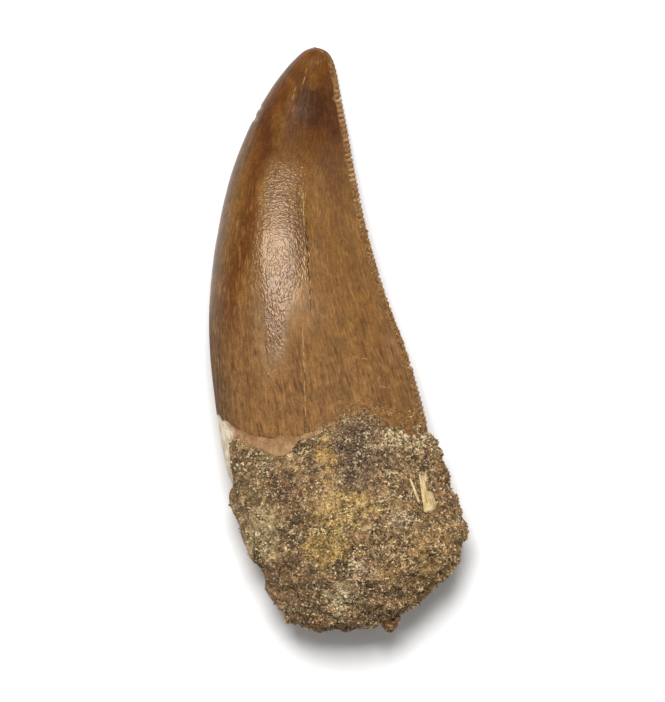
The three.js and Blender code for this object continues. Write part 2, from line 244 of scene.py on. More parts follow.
# Noise of the materials: wavelength, detail, roughness and how far it is warped
DASHES = (0.27, 2.0, 0.6)
STROKES = (0.25, 2.0, 0.6, 0.2)
ENAMEL_GRIT = (0.2, 2.0, 0.6)
ENAMEL_MOTTLE = (1.1, 4.0, 0.7)
ENAMEL_CLOUDS = (2.6, 3.0, 0.55)
NECK_CLOUDS = (1.3, 3.0, 0.6)
SMEARS = (0.9, 4.0, 0.7)
MARK_BREAKS = (0.8, 3.0, 0.7)
CRACK_SWAY = (1.6, 3.0, 0.6)
CRUST_CLOUDS = (3.0, 5.0, 0.65)
CRUST_CLUMPS = (0.7, 4.0, 0.7)
CRUST_PATCHES = (1.9, 3.0, 0.6)
PATCH_EDGES = (1.0, 5.0, 0.7)
CREAM_CLOUDS = (2.6, 3.0, 0.6)
CREAM_CLUMPS = (0.75, 4.0, 0.75)
STONE_GRIT = (0.3, 3.0, 0.65)
DENTICLE_CLOUDS = (0.35, 3.0, 0.6)
BONE_FIBRES = (0.24, 3.0, 0.6, 0.3)
BONE_CLOUDS = (1.0, 3.0, 0.6)

# Colours of the materials, in levels of red, green and blue
ENAMEL_HIGH = ((130, 88, 38), (114, 75, 31))
ENAMEL_LOW = ((138, 97, 52), (122, 84, 44))
# The rim tint is a painted reflection of the pale surroundings along the front edge.
ENAMEL_TIP, ENAMEL_BAND, ENAMEL_RIM_REFLECTION = (92, 52, 17), (98, 54, 16), (94, 66, 44)
STREAK_DARK, STREAK_PALE = (176, 150, 130), (172, 128, 76)
CRACK_DARK = (30, 17, 9)
DIRT = ((96, 64, 32), (146, 106, 58))
NECK, NECK_STREAK = ((172, 136, 98), (140, 102, 66)), (120, 86, 56)
ROOT_STRIP = ((226, 212, 188), (200, 184, 158))
# The darkest stone colour is painted shade, laid in the crust's hollows and pits.
STONE, STONE_HOLLOW_SHADE, STONE_PALE = ((128, 99, 67), (164, 131, 90)), (70, 50, 32), (226, 198, 146)
GRAIN_PALE, GRAIN_SPECK = (250, 229, 182), (90, 68, 44)
DENTICLE, DENTICLE_SANDY = ((112, 74, 36), (156, 110, 60)), ((118, 80, 36), (166, 124, 66))
# The pale serration colour is partly the serrations' own paler tone and partly a painted highlight on their
# tops.
DENTICLE_PALE_AND_HIGHLIGHT, DENTICLE_TIP = (200, 158, 102), (98, 56, 20)
BONE, BONE_DARK, BONE_PALE = ((232, 208, 160), (196, 168, 112)), (140, 106, 66), (244, 232, 200)
ENAMEL_SHEEN = (1.0, 0.82, 0.64, 1.0)

# The long crack: place across at its upper end, slant, upper and lower end of its open stretch
CRACK_X, CRACK_SLANT, CRACK_TOP, CRACK_BOTTOM = -4.0, -0.058, 14.8, 4.6

# Thin marks on the crown: two ends, half width, strength and colour levels
MARKS = (
    ((-4.4, 0.9), (-4.0, -11.3), 0.05, 0.5, (214, 172, 122)),
    ((-8.9, -4.4), (-8.3, -5.3), 0.06, 0.7, (206, 164, 116)),
    ((-7.7, -4.1), (-8.9, -4.9), 0.05, 0.6, (210, 168, 118)),
    ((2.2, -2.6), (3.9, -2.9), 0.05, 0.5, (204, 164, 116)),
    ((5.4, -6.3), (6.7, -6.6), 0.05, 0.5, (204, 164, 116)),
    ((-3.9, 34.6), (-4.6, 31.9), 0.07, 0.6, (190, 140, 84)),
    ((-5.3, 32.2), (-6.0, 30.0), 0.07, 0.5, (180, 132, 78)),
    # a painted highlight: the bright line along the polished stretch's rear edge, at the crack's upper end
    ((-4.4, 19.0), (-4.2, 13.2), 0.05, 0.5, (216, 178, 132)),
    ((-12.3, 3.9), (-9.6, 3.6), 0.16, 0.4, (92, 52, 34)),
)

# Colours of the crown that have a place: middle and half size of the oval, strength and colour levels
CROWN_BLOTCHES = (
    ((-0.3, 22.8), (1.5, 5.6), 0.7, (96, 56, 26)),
    ((-3.4, 29.9), (2.2, 2.9), 0.9, (66, 34, 12)),
    ((-0.4, 28.6), (1.3, 3.0), 0.7, (78, 42, 17)),
    ((-9.0, 27.0), (0.8, 3.4), 0.85, (84, 42, 14)),
    ((-7.5, 27.2), (0.7, 2.6), 0.7, (112, 72, 24)),
    ((-6.0, 31.0), (0.7, 2.2), 0.6, (116, 72, 26)),
    ((-2.9, 35.9), (2.4, 2.3), 0.95, (104, 60, 9)),
    ((-3.1, 33.0), (0.7, 1.2), 0.8, (114, 70, 18)),
    ((-1.0, 6.0), (1.6, 6.0), 0.6, (126, 84, 34)),
    ((-7.4, 2.4), (1.2, 3.4), 0.5, (112, 72, 36)),
    ((7.6, -1.2), (1.3, 2.2), 0.7, (136, 96, 62)),
    ((9.4, -10.6), (2.4, 1.9), 0.8, (130, 88, 38)),
    ((-9.4, -0.5), (1.6, 5.0), 0.6, (136, 98, 60)),
)

# The same for the crust
CRUST_BLOTCHES = (
    ((3.2, -15.1), (3.6, 4.0), 0.85, (114, 90, 70)),
    ((8.4, -13.0), (3.0, 1.6), 0.6, (165, 139, 101)),
    ((-10.5, -17.5), (3.7, 3.7), 0.7, (132, 108, 73)),
    ((-6.0, -19.5), (2.4, 2.0), 0.7, (114, 84, 59)),
    ((-9.9, -24.6), (2.6, 3.6), 0.75, (165, 143, 103)),
    ((-5.0, -25.6), (2.0, 3.0), 0.6, (119, 92, 66)),
    ((-9.0, -30.4), (1.3, 1.9), 0.7, (114, 79, 51)),
    ((-5.0, -33.0), (3.0, 2.0), 0.75, (116, 88, 58)),
    ((13.8, -18.0), (1.6, 4.6), 0.7, (145, 108, 64)),
    ((11.3, -28.4), (5.4, 5.6), 0.8, (162, 127, 80)),
    ((8.0, -23.8), (2.5, 1.1), 0.7, (165, 141, 112)),
    ((-1.5, -15.4), (1.0, 3.2), 0.75, (176, 141, 82)),
    ((0.8, -21.9), (3.7, 2.0), 0.95, (182, 149, 88)),
    ((-1.1, -26.2), (3.0, 2.9), 0.95, (178, 145, 82)),
    ((0.0, -29.5), (2.2, 0.9), 0.7, (98, 72, 50)),
    ((3.1, -29.8), (1.8, 1.2), 0.6, (170, 142, 116)),
    ((0.6, -33.4), (2.4, 1.4), 0.75, (165, 150, 114)),
    ((-3.2, -36.9), (1.5, 1.1), 0.8, (139, 97, 55)),
    ((6.9, -36.6), (1.5, 1.8), 0.9, (150, 108, 64)),
)

# Patches with more cream grains: middle and half size of the oval, and strength
CREAM_BLOTCHES = (
    ((8.2, -13.2), (3.8, 1.8), 0.7),
    ((-9.9, -24.8), (2.6, 3.6), 0.7),
    ((-9.2, -17.0), (1.8, 2.0), 0.5),
    ((0.8, -21.9), (3.5, 2.0), 0.4),
    ((-1.1, -26.2), (2.7, 2.7), 0.25),
    ((3.2, -29.8), (1.9, 1.2), 0.8),
    ((0.8, -33.4), (2.6, 1.4), 0.8),
    ((8.0, -23.8), (2.4, 1.0), 0.6),
    ((8.6, -17.5), (2.6, 3.4), 0.35),
    ((-5.6, -34.6), (1.6, 1.1), 0.5),
)

LIGHT_AZIMUTH, LIGHT_ELEVATION = math.radians(10), math.radians(67)
LIGHT_DISTANCE, LIGHT_POWER = 0.6, 4.15
LIGHT_WIDTH, LIGHT_HEIGHT = 0.27, 0.24
SKY_ZENITH, SKY_HORIZON = 0.262, 0.37
FLOOR_HALF, FLOOR_WHITE = 1.5, (0.98, 0.98, 0.98, 1)

# What the camera sees: middle of the view, its height on the table, and the lens
VIEW_MIDDLE = (-0.59, -1.85)
VIEW_HEIGHT = 90.46
VIEW_LEVEL = 6.0  # height above the table at which the view is that high
LENS, SENSOR = 400.0, 36.0


def smooth(knots, values, at):
    """Catmull-Rom interpolation through values at uneven knots."""
    knots, values = np.asarray(knots, float), np.asarray(values, float)
    at = np.clip(at, knots[0], knots[-1])
    before = np.r_[0, np.arange(len(knots) - 1)]
    after = np.r_[np.arange(1, len(knots)), len(knots) - 1]
    slope = (values[after] - values[before]) / (knots[after] - knots[before])
    i = np.clip(np.searchsorted(knots, at) - 1, 0, len(knots) - 2)
    gap = knots[i + 1] - knots[i]
    t = (at - knots[i]) / gap
    ease = t * t * (3 - 2 * t)
    bend = gap * (t * (1 - t) ** 2 * slope[i] - t * t * (1 - t) * slope[i + 1])
    return values[i] + (values[i + 1] - values[i]) * ease + bend


def ramp(value, low, high):
    """0 below low, 1 above high, and a smooth step between them."""
    t = np.clip((value - low) / (high - low), 0, 1)
    return t * t * (3 - 2 * t)


def measures(stations, y):
    """Front and rear edge, thickness, height above the table and taper of the sections at heights y."""
    knots, *columns = np.array(stations).T
    return [smooth(knots, column, y) for column in columns]


def section_points(stations, y, angle, grow=0.0):
    """Points of the sections at heights y and angles: 0 is the front edge, pi the rear one, and between
    them the upper side. grow moves the outline outwards."""
    front, rear, thick, lift, taper = measures(stations, y)
    share = (1 - np.cos(angle)) / 2
    peak = BLUNTNESS / (BLUNTNESS + taper)
    shape = (share / peak) ** BLUNTNESS * ((1 - share) / (1 - peak)) ** taper
    upper = np.sin(angle) >= 0
    side = np.where(upper, UPPER_SHARE, 1 - UPPER_SHARE)
    height = thick * side * shape + grow * np.sqrt(np.abs(np.sin(angle)))
    x = front - grow + share * (rear - front + 2 * grow)
    z = lift + thick * (1 - UPPER_SHARE) + np.where(upper, height, -height)
    return np.stack(np.broadcast_arrays(x, y, z), axis=-1)


def lumps(p):
    """The crust's large unevenness, from plane waves in directions spread over a sphere."""
    total = 0
    for wavelength, height in LUMPS:
        for i in range(WAVES):
            up = 1 - (2 * i + 1) / WAVES
            flat = math.sqrt(1 - up * up)
            turn = i * GOLDEN_ANGLE
            number = 2 * math.pi / (wavelength * (1 + WAVE_SPREAD * math.sin(i * SPREAD_STEP)))
            along = p @ np.array((flat * math.cos(turn), flat * math.sin(turn), up))
            total = total + height / math.sqrt(WAVES) * np.sin(number * along + i * PHASE_STEP)
    return total


def lattice_noise(p, wavelength, seed):
    """Noise of -1 to 1, smooth between random values on a cubic lattice."""
    at = p / wavelength + 31.7 * seed
    cell = np.floor(at).astype(np.int64)
    part = at - cell
    ease = part * part * (3 - 2 * part)
    total = 0
    for corner in np.ndindex(2, 2, 2):
        weight = np.where(corner, ease, 1 - ease).prod(axis=-1)
        total = total + weight * RANDOM[(cell + corner) @ PRIMES % len(RANDOM)]
    return total


def noise_sum(p, layers, seed):
    return sum(height * lattice_noise(p, length, seed + k) for k, (length, height) in enumerate(layers))


def unit(vectors):
    return vectors / np.maximum(np.linalg.norm(vectors, axis=-1, keepdims=True), 1e-9)


def grid_normals(rings):
    """Unit normals of a grid of rings, to the left of the way from ring to ring."""
    around = np.roll(rings, -1, axis=1) - np.roll(rings, 1, axis=1)
    return unit(np.cross(around, np.gradient(rings, axis=0)))


def full_turn(count):
    """Evenly spaced angles of a whole turn."""
    return 2 * math.pi * np.arange(count) / count


def offset():
    """How far the tooth's own frame lies from the solids' frame, in millimetres."""
    low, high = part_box("tooth")
    bottom, top = TOOTH[0][0], TOOTH[-1][0]
    foremost = measures(TOOTH, np.linspace(bottom, top, 500))[0].min()
    return np.array((low.x / MM - foremost, high.y / MM - top, low.z / MM))


OFFSET = offset()


def mesh_piece(name, points, faces, material, smooth_faces=True, uv=None, **fields):
    """A mesh object from millimetre points in the tooth's frame, with fields as values on its points."""
    mesh = bpy.data.meshes.new(name)
    placed = points + OFFSET
    placed[:, 2] = np.maximum(placed[:, 2], 0)
    mesh.from_pydata((placed * MM).tolist(), [], faces)
    mesh.shade_smooth() if smooth_faces else mesh.shade_flat()
    for field, values in fields.items():
        kind, key = ("FLOAT_VECTOR", "vector") if np.ndim(values) == 2 else ("FLOAT", "value")
        mesh.attributes.new(field, kind, "POINT").data.foreach_set(key, np.ravel(values))
    if uv is not None:
        mesh.uv_layers.new(name="OFBake").data.foreach_set("uv", np.ravel(uv))
    mesh.materials.append(material)
    piece = bpy.data.objects.new(name, mesh)
    bpy.context.scene.collection.objects.link(piece)
    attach(piece, "root")
    return piece


def with_poles(grid):
    """Values on the points of a loft: those on its rings, and the means at its two poles."""
    flat = grid.reshape(-1, *grid.shape[2:])
    return np.concatenate([flat, grid[:1].mean(axis=1), grid[-1:].mean(axis=1)])


def loft(rings, first_pole, last_pole):
    """Points and outward faces of closed rings and two poles, with a map that unrolls them. The rings
    turn so that the outside is on the right of the way from ring to ring."""
    rows, columns, _ = rings.shape
    points = np.vstack([rings.reshape(-1, 3), [first_pole, last_pole]])
    row, column = np.meshgrid(np.arange(rows - 1), np.arange(columns), indexing="ij")
    after = (column + 1) % columns
    quads = np.stack([row * columns + column, row * columns + after,
                      (row + 1) * columns + after, (row + 1) * columns + column], -1)
    fan = np.arange(columns)
    turn = (fan + 1) % columns
    pole = rows * columns
    first = np.stack([np.full(columns, pole), turn, fan], -1)
    last = np.stack([pole - columns + fan, pole - columns + turn, np.full(columns, pole + 1)], -1)
    faces = quads.reshape(-1, 4).tolist() + first.tolist() + last.tolist()
    return points, faces, unrolled(rings)


def unrolled(rings):
    """The map of a loft's corners, with its columns and rows spaced as they lie on average."""
    closed = np.concatenate([rings, rings[:, :1]], axis=1)
    u = np.r_[0, np.cumsum(np.linalg.norm(np.diff(closed, axis=1), axis=-1).mean(0))]
    v = np.r_[0, np.cumsum(np.linalg.norm(np.diff(rings, axis=0), axis=-1).mean(1))]
    u = 0.01 + 0.98 * u / u[-1]
    v = 0.03 + 0.94 * v / v[-1]
    low, west = np.meshgrid(v[:-1], u[:-1], indexing="ij")
    high, east = np.meshgrid(v[1:], u[1:], indexing="ij")
    quads = np.stack([west, low, east, low, east, high, west, high], -1)
    middle = (u[:-1] + u[1:]) / 2
    flat = np.ones(len(middle))
    first = np.stack([middle, flat * 0.005, u[1:], flat * v[0], u[:-1], flat * v[0]], -1)
    last = np.stack([u[:-1], flat * v[-1], u[1:], flat * v[-1], middle, flat * 0.995], -1)
    return np.concatenate([quads.ravel(), first.ravel(), last.ravel()])


def joined(lofts):
    """One set of points, faces and map from several lofts, each with its own band of the map."""
    points, faces, maps, base = [], [], [], 0
    for k, (some, few, uv) in enumerate(lofts):
        points.append(some)
        faces += [tuple(index + base for index in face) for face in few]
        band = uv.reshape(-1, 2) * (1, 1 / len(lofts)) + (0, k / len(lofts))
        maps.append(band.ravel())
        base += len(some)
    return np.vstack(points), faces, np.concatenate(maps)


def surface_faces(piece, *names):
    """Triangles of a mesh as corner points in millimetres, with the mean of fields on them."""
    mesh = piece.data
    mesh.calc_loop_triangles()
    corners = np.array([t.vertices for t in mesh.loop_triangles])
    points = np.array([v.co for v in mesh.vertices]) / MM - OFFSET
    fields = []
    for name in names:
        values = np.zeros(len(points), np.float32)
        mesh.attributes[name].data.foreach_get("value", values)
        fields.append(values[corners].mean(axis=1))
    return points[corners], fields


def srgb(*levels):
    """Linear colour of red, green and blue levels of 0 to 255."""
    part = [level / 255 for level in levels]
    return (*((c / 12.92 if c <= 0.04045 else ((c + 0.055) / 1.055) ** 2.4) for c in part), 1.0)


class Value:
    """Output of a shader node. Sums, differences and products of values are nodes too."""

    def __init__(self, socket):
        self.socket = socket

    def __add__(self, other):
        return calc("ADD", self, other)

    def __sub__(self, other):
        return calc("SUBTRACT", self, other)

    def __rsub__(self, other):
        return calc("SUBTRACT", other, self)

    def __mul__(self, other):
        return calc("MULTIPLY", self, other)

    def __abs__(self):
        return calc("ABSOLUTE", self)


def source(tree, kind, output=0, inputs=None, **settings):
    """The output of a new shader node with its settings and inputs, which are constants or values."""
    made = tree.nodes.new("ShaderNode" + kind)
    for key, value in settings.items():
        setattr(made, key, value)
    for key, value in (inputs or {}).items():
        if isinstance(value, Value):
            tree.links.new(value.socket, made.inputs[key])
        else:
            made.inputs[key].default_value = value
    return Value(made.outputs[output])


def node(kind, inputs, output=0, **settings):
    """The same in the tree of the inputs' first value."""
    tree = next(value.socket.id_data for value in inputs.values() if isinstance(value, Value))
    return source(tree, kind, output, inputs, **settings)


def calc(operation, a, b=0.0):
    return node("Math", {0: a, 1: b}, operation=operation)


def larger(a, b):
    return calc("MAXIMUM", a, b)


def step(value, low, high, most=1.0, least=0.0):
    """Smooth step of a value from low, where it gives the least, to high, where it gives the most."""
    inputs = {"Value": value, "From Min": low, "From Max": high, "To Min": least, "To Max": most}
    return node("MapRange", inputs, interpolation_type="SMOOTHSTEP")


def mix(share, a, b, blend="MIX"):
    return node("Mix", {0: share, 6: a, 7: b}, 2, data_type="RGBA", blend_type=blend)


def shaded(colour, level):
    """A colour times a level or another colour."""
    return mix(1.0, colour, level, "MULTIPLY")


def paint(share, colour, levels):
    """A colour with a share of another one, which is given in levels, laid over it."""
    return mix(share, colour, srgb(*levels))


def two_tone(share, pair):
    """A mixture of two colours that are given in levels."""
    return mix(share, srgb(*pair[0]), srgb(*pair[1]))


def field(tree, name, output="Fac"):
    """The values of a field of the mesh."""
    return source(tree, "Attribute", output, attribute_name=name)


def vector_calc(operation, a, b=(0.0, 0.0, 0.0), c=(0.0, 0.0, 0.0), output=0):
    return node("VectorMath", {0: a, 1: b, 2: c}, output, operation=operation)


def place(tree):
    """Position in millimetres in the tooth's own frame."""
    raw = source(tree, "TexCoord", "Object")
    return vector_calc("MULTIPLY_ADD", raw, (1 / MM,) * 3, tuple(-OFFSET))


def axis(vector, name):
    return node("SeparateXYZ", {0: vector}, name)


def scaled(vector, *factors):
    return vector_calc("MULTIPLY", vector, factors)


def noise(vector, wavelength, detail=2.0, rough=0.5, warp=0.0, output=0):
    """Noise of 0 to 1 with features of about a wavelength."""
    inputs = {"Vector": vector, "Scale": 1 / wavelength, "Detail": detail}
    inputs.update({"Roughness": rough, "Distortion": warp})
    return node("TexNoise", inputs, output)


def warped(vector, wavelength, reach):
    """The vector, moved about by noise by up to about reach."""
    shift = noise(vector, wavelength, 3.0, 0.6, output="Color")
    return vector_calc("ADD", vector, vector_calc("MULTIPLY_ADD", shift, (2 * reach,) * 3, (-reach,) * 3))


def bump(height, distance, strength=1.0, normal=None):
    inputs = {"Height": height, "Distance": distance * MM, "Strength": strength}
    if normal is not None:
        inputs["Normal"] = normal
    return node("Bump", inputs)


def new_material(name, **shader):
    """A material and its node tree, with its Principled shader's constant inputs set."""
    material = bpy.data.materials.new(name)
    material.use_nodes = True
    tree = material.node_tree
    for key, value in shader.items():
        tree.nodes["Principled BSDF"].inputs[key.replace("_", " ")].default_value = value
    return material, tree


def dressed(material, colour, rough, normal):
    """The material with its colour, roughness and normal connected."""
    tree = material.node_tree
    for key, value in (("Base Color", colour), ("Roughness", rough), ("Normal", normal)):
        tree.links.new(value.socket, tree.nodes["Principled BSDF"].inputs[key])
    return material


def upper_side(where):
    """1 on the upper side and 0 underneath. The tip lies lower than the rest."""
    along = axis(where, "Y")
    return step(axis(where, "Z"), step(along, 20.0, 36.0, 0.9, 3.0), step(along, 20.0, 36.0, 2.2, 7.0))


def patch(layout, middle, half, strength):
    """The strength in the middle of an oval on the upper side, and 0 outside it. The layout is the place
    that patches are seen at, how uneven their edges are there, and the upper side."""
    where, ragged, upper = layout
    moved = vector_calc("ADD", where, (-middle[0], -middle[1], 0.0))
    shrunk = scaled(moved, 1 / half[0], 1 / half[1], 0.0)
    far = vector_calc("LENGTH", shrunk, output="Value") + ragged
    return step(far, 1.3, 0.7) * (upper * strength)


def crown_chips(points):
    """How deep the chips cut at each point."""
    cut = 0
    for along, edge, radius, depth in CHIPS:
        front, rear = measures(TOOTH, along)[:2]
        centre = np.array((rear if edge == "rear" else front, along))
        far = np.linalg.norm(points[..., :2] - centre, axis=-1)
        cut = cut + depth * (1 - ramp(far, 0.2 * radius, radius))
    return cut


def crown_piece(material):
    low, high = TOOTH[0][0], TOOTH[-1][0]
    fall = np.arange(CROWN_ROWS) / CROWN_ROWS
    y = (low + (high - low) * (1 - (1 - fall) ** TIP_CROWDING))[:, None]
    angle = full_turn(CROWN_COLUMNS)[None, :]
    rings = section_points(TOOTH, y, angle)
    share = np.broadcast_to((1 - np.cos(angle)) / 2, rings.shape[:2])
    flow = np.stack([share * FLOW_WIDTH, rings[..., 1], rings[..., 2]], -1)
    below = smooth(*np.array(ENAMEL_EDGE).T, share) - rings[..., 1] + noise_sum(rings, ENAMEL_RAGGED, 8)
    lift = noise_sum(rings, WAVINESS, 3) + FLUTING * lattice_noise(flow * FLUTE_STRETCH, FLUTE_WIDTH, 5)
    lift = lift - ENAMEL_STEP * ramp(below, *STEP_BEVEL) - crown_chips(rings)
    lift = lift * ramp(high - rings[..., 1], 0.0, TIP_FADE)
    rings = rings + grid_normals(rings) * lift[..., None]
    tip = section_points(TOOTH, np.array([high]), np.array([0.0]))[0]
    points, faces, uv = loft(rings, rings[0].mean(axis=0), tip)
    to_rear = rings[:, CROWN_COLUMNS // 2, 0][:, None] - rings[..., 0]
    turn = np.broadcast_to(angle / (2 * math.pi), rings.shape[:2])
    above = rings[..., 1] - smooth(*np.array(CRUST_EDGE).T, turn)
    piece = mesh_piece("crown", points, faces, material, uv=uv, flow=with_poles(flow),
                       below=with_poles(below), to_rear=with_poles(to_rear), above=with_poles(above))
    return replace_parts(piece, "tooth")


def patched(colour, layout, blotches):
    for *oval, levels in blotches:
        colour = paint(patch(layout, *oval), colour, levels)
    return colour


def crown_tint(where, flow):
    """Colour of the enamel by region, with a painted reflection as a greyer tint along the front edge."""
    along, share = axis(where, "Y"), axis(flow, "X") * (1 / FLOW_WIDTH)
    cloud = noise(scaled(where, 1.0, 0.3, 1.0), *ENAMEL_CLOUDS)
    either = step(cloud, 0.36, 0.64)
    colour = mix(step(along, 3.0, -6.0), two_tone(either, ENAMEL_HIGH), two_tone(either, ENAMEL_LOW))
    colour = paint(step(along, 18.0, 28.0), colour, ENAMEL_TIP)
    middle = step(along, 2.0, 19.0, 0.2, 0.11) + (cloud * 0.12 - 0.06)
    band = step(abs(share - middle), 0.085, 0.02, 0.9) * step(along, -4.0, 4.0)
    colour = paint(band, colour, ENAMEL_BAND)
    # painted reflection: a greyer tint along the front edge
    colour = paint(step(share, 0.11, 0.03, 0.7), colour, ENAMEL_RIM_REFLECTION)
    return patched(colour, (warped(where, 2.4, 1.1), 0.0, upper_side(where)), CROWN_BLOTCHES)


def enamel_level(where, dashes, groove_shade):
    """How light the enamel is against its tint, with painted shade in the wrinkles' grooves where the polish
    is.
    """
    mottle, grit = noise(where, *ENAMEL_MOTTLE), noise(where, *ENAMEL_GRIT)
    level = (dashes * 1.2 + 0.32) * (mottle * 1.1 + 0.42) * (grit * 0.9 + 0.55)
    return level * (0.98 - groove_shade * 0.3)


def streaks_over(where, strokes, colour):
    """A colour with dark streaks, mostly low on the crown, and pale ones, fewer near the tip."""
    along = axis(where, "Y")
    dark = step(strokes, 0.55, 0.68) * step(along, 6.0, -6.0, 0.75, 0.3)
    colour = mix(dark, colour, shaded(colour, srgb(*STREAK_DARK)))
    pale = step(strokes, 0.44, 0.32) * step(along, 24.0, 12.0, 0.35, 0.08)
    return paint(pale, colour, STREAK_PALE)


def mark(where, low, high, half):
    """1 on a straight mark, as seen from above."""
    run = (high[0] - low[0], high[1] - low[1])
    length = math.hypot(*run)
    ahead = (run[0] / length, run[1] / length, 0.0)
    start = vector_calc("ADD", where, (-low[0], -low[1], 0.0))
    along = vector_calc("DOT_PRODUCT", start, ahead, output="Value")
    across = vector_calc("DOT_PRODUCT", start, (-ahead[1], ahead[0], 0.0), output="Value")
    ends = step(along, -0.3, 0.3) * step(along, length + 0.3, length - 0.3)
    return ends * step(abs(across), half * 1.7, half * 0.4)


def marks_over(where, colour):
    """Scratches and stains laid over a colour, and one painted highlight line, broken up along their length.
    """
    broken = step(noise(where, *MARK_BREAKS), 0.4, 0.6) * upper_side(where)
    swayed = warped(where, 1.5, 0.16)
    for low, high, half, strength, levels in MARKS:
        colour = paint(mark(swayed, low, high, half) * strength * broken, colour, levels)
    return colour


def crack(where):
    """1 along the crack of the upper side, and 0 away from it."""
    along = axis(where, "Y")
    sway = noise(scaled(where, 0.0, 1.0, 0.0), *CRACK_SWAY)
    middle = (sway - 0.5) * 0.9 + ((along - CRACK_TOP) * CRACK_SLANT + CRACK_X)
    far = abs(axis(where, "X") - middle)
    ends = step(along, CRACK_BOTTOM - 3, CRACK_BOTTOM) * step(along, CRACK_TOP + 1.5, CRACK_TOP - 2)
    width = ends * 0.035 + 0.01
    dashed = step(noise(scaled(where, 0.3, 1.0, 0.3), 0.9), 0.4, 0.52)
    return step(calc("DIVIDE", far, width), 1.4, 0.6) * ends * dashed * step(axis(where, "Z"), 5.0, 7.0)


def neck_colour(where, below, dashes, enamel):
    """The bare dentine and root below the enamel, and where they are."""
    bare = step(below + (noise(where, 0.35) * 0.3 - 0.15), -0.06, 0.06)
    cloud = noise(where, *NECK_CLOUDS)
    lean = axis(where, "Y") * 0.19 + axis(where, "X")
    root = mix(step(cloud * 1.6 + lean, -14.6, -16.0), two_tone(step(cloud, 0.35, 0.65), NECK),
               two_tone(step(cloud, 0.4, 0.62), ROOT_STRIP))
    root = paint(step(dashes, 0.52, 0.66, 0.45), root, NECK_STREAK)
    return mix(bare, enamel, root), bare


def sandy_smear(where, above):
    """1 on patches of fine sand that stick to the enamel next to the crust, on the rear half."""
    near = step(above, 5.0, 0.0, 0.3) * step(axis(where, "X"), -2.0, 4.0)
    patches = noise(warped(where, 0.8, 0.5), *SMEARS) + near
    return step(patches, 0.6, 0.68, 0.7) * step(near, 0.0, 0.06)


def worms(vector, wavelength):
    """Height of a net of fine winding grooves."""
    moved = warped(vector, wavelength * 2.5, wavelength * 0.5)
    return step(abs(noise(moved, wavelength, 1.0) - 0.5), 0.0, 0.2)


def wrinkles(where, flow):
    """Height of the fine wrinkles of the polished stretch, and where they are: across the crown above,
    along it below."""
    across, along = axis(where, "X"), axis(where, "Y")
    above = step(along, 9.0, 16.0)
    height = worms(scaled(flow, 0.65, 1.3, 0.8), 0.54) * above
    height = height + worms(scaled(flow, 1.2, 0.6, 0.8), 0.52) * (1.0 - above)
    shown = step(along, -7.0, 0.0) * step(along, 23.5, 17.5) * step(across, -10.3, -8.8)
    past_rear = across - step(along, 1.0, 11.0, -3.7, -6.6)
    return height, shown * step(past_rear, 0.9, -0.7)


def enamel_gloss(where, shown):
    """Roughness of the enamel: polished towards the tip and where the wrinkles are, dull below."""
    across, along = axis(where, "X"), axis(where, "Y")
    dull = larger(step(along, 10.0, -4.0), step(across, -4.2, -1.5, 0.6)) * step(along, 27.0, 20.0)
    gloss = shown * 0.07 + (noise(where, 0.9, 3.0) * 0.16 + 0.14)
    return dull * (1.0 - shown) * 0.6 + gloss


def enamel_relief(where, strokes, dashes, wrinkle, shown, split):
    """Normal of the enamel: wrinkles, fine ridges and the crack."""
    faint = step(axis(where, "Y"), 26.0, 20.0, 0.3, 0.05)
    calm = shown * -0.85 + 1.0
    normal = bump(strokes * calm, 0.03, 0.7)
    normal = bump(dashes * calm, 0.025, 0.7, normal)
    normal = bump(wrinkle * (shown * 0.7 + faint), 0.026, 1.0, normal)
    return bump(split, -0.1, 1.0, normal)


def enamel_material():
    material, tree = new_material("fossil_enamel", Specular_IOR_Level=0.5, Specular_Tint=ENAMEL_SHEEN)
    where, flow = place(tree), field(tree, "flow", "Vector")
    dashes = noise(scaled(flow, 1.0, 0.3, 0.5), *DASHES)
    strokes = noise(scaled(flow, 1.0, 0.1, 0.4), *STROKES)
    wrinkle, shown = wrinkles(where, flow)
    split = crack(where)
    # the wrinkles' grooves in the polished stretch are darkened: painted shade
    colour = shaded(crown_tint(where, flow), enamel_level(where, dashes, (1.0 - wrinkle) * shown))
    colour = marks_over(where, streaks_over(where, strokes, colour))
    colour = paint(split, colour, CRACK_DARK)
    colour, bare = neck_colour(where, field(tree, "below"), dashes, colour)
    slot = step(field(tree, "to_rear"), 0.95, 0.6) * (1.0 - bare)
    smear = sandy_smear(where, field(tree, "above"))
    dirt = two_tone(step(noise(where, 0.5), 0.42, 0.6), DIRT)
    colour = mix(smear, mix(slot * 0.8, colour, dirt), dirt)
    dull = larger(larger(bare, slot), smear) * 0.85
    rough = larger(enamel_gloss(where, shown), larger(dull, split))
    return dressed(material, colour, rough, enamel_relief(where, strokes, dashes, wrinkle, shown, split))


def denticle_frame(y):
    """The point of the rear edge at a height, and the ways down along it and out of it."""
    at = section_points(TOOTH, y, math.pi)
    run = section_points(TOOTH, y - 0.1, math.pi) - at
    run = run / np.linalg.norm(run)
    out = np.array((-run[1], run[0], 0.0))
    return at, run, out if out[0] > 0 else -out


